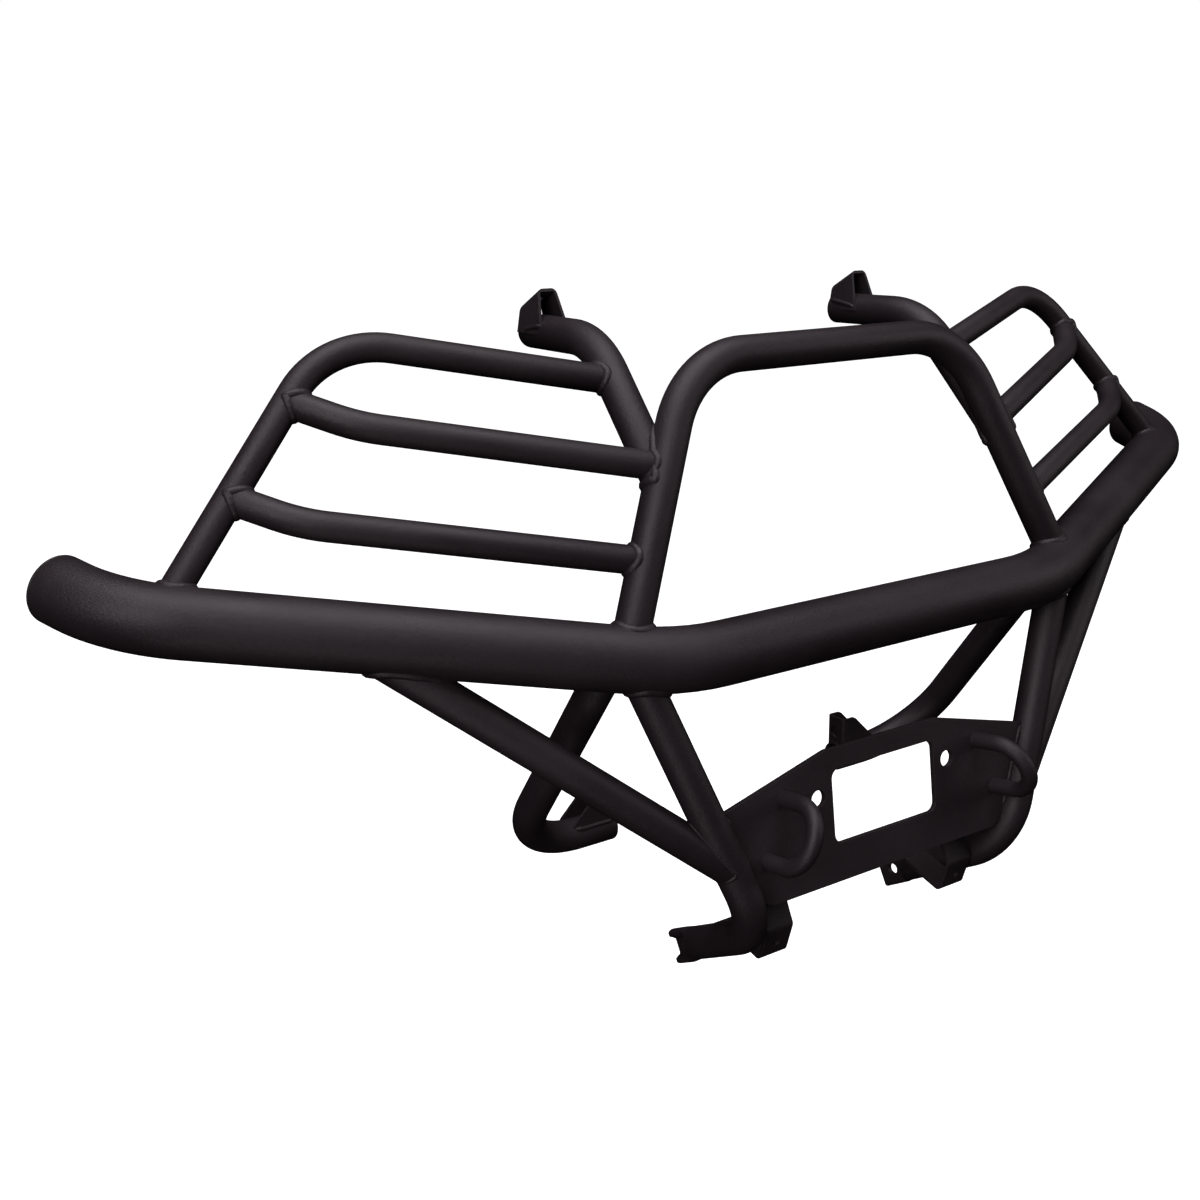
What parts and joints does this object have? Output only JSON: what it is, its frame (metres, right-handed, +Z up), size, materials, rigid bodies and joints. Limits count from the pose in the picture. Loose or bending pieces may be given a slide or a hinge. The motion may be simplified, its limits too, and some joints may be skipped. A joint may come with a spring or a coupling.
{
  "type": "front grille guard",
  "caption": "Welded tube front guard for a small utility vehicle: swept main bar, centre hoop, runged wing hoops, winch plate with window, tow loops and rear mounting brackets.",
  "frame": {"origin": "midway between the bolt holes in the flattened ends of the two lower legs", "axes": "+X to the guard's right seen from behind it, +Y rearward towards the vehicle, +Z up"},
  "size_m": [1.239, 0.3096, 0.5773],
  "materials": {
    "powder_coat": "matte black powder coat with a fine texture",
    "plug_plastic": "satin moulded plastic"
  },
  "bodies": {
    "root": {"centre_hoop": "powder_coat", "left_diagonal_brace": "powder_coat", "left_end_plug": "plug_plastic", "left_lower_bracket": "powder_coat", "left_lower_leg": "powder_coat", "left_lower_rung": "powder_coat", "left_rear_bracket": "powder_coat", "left_rear_stay": "powder_coat", "left_tow_loop": "powder_coat", "left_upper_bracket": "powder_coat", "left_upper_rung": "powder_coat", "left_upper_support": "powder_coat", "left_wing_hoop": "powder_coat", "main_bar": "powder_coat", "right_diagonal_brace": "powder_coat", "right_end_plug": "plug_plastic", "right_lower_bracket": "powder_coat", "right_lower_leg": "powder_coat", "right_lower_rung": "powder_coat", "right_rear_bracket": "powder_coat", "right_rear_stay": "powder_coat", "right_tow_loop": "powder_coat", "right_upper_bracket": "powder_coat", "right_upper_rung": "powder_coat", "right_upper_support": "powder_coat", "right_wing_hoop": "powder_coat", "winch_plate": "powder_coat"}
  },
  "joints": []
}
